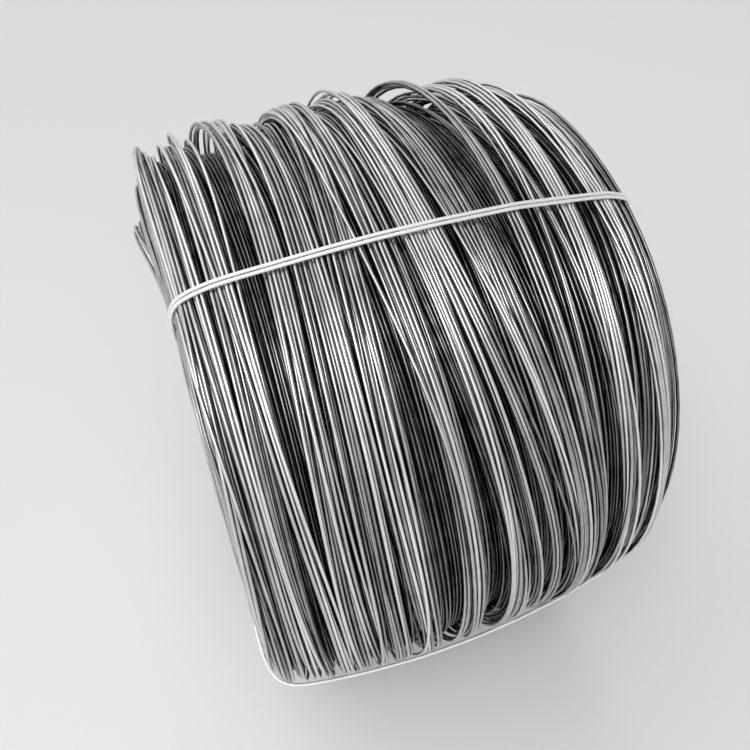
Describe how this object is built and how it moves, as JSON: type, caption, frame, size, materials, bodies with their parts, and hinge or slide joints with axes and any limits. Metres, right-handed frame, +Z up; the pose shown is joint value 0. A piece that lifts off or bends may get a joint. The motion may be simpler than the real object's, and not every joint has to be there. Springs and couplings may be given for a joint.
{
  "type": "coil of galvanized wire",
  "caption": "Heavy coil of galvanized steel wire lying on its rim, with an open eye, turns in loose ribbons and doubled tie wires round its section.",
  "frame": {"origin": "middle of the coil's eye, on the coil's axis, half way along its length", "axes": "+X along the coil's axis, towards the end with the twisted tie ends; +Z up as the coil lies on its rim; -Y is the side that the picture shows"},
  "size_m": [0.5712, 0.8198, 0.82],
  "materials": {
    "galvanized_wire": "hot-dip zinc, drawn bright, slightly dulled by weather",
    "tie_wire": "bright soft-annealed zinc-coated tie wire"
  },
  "bodies": {
    "root": {"wire_coil": "galvanized_wire", "tie_wire_1": "tie_wire", "tie_wire_2": "tie_wire", "tie_wire_3": "tie_wire", "tie_wire_4": "tie_wire"}
  },
  "joints": []
}
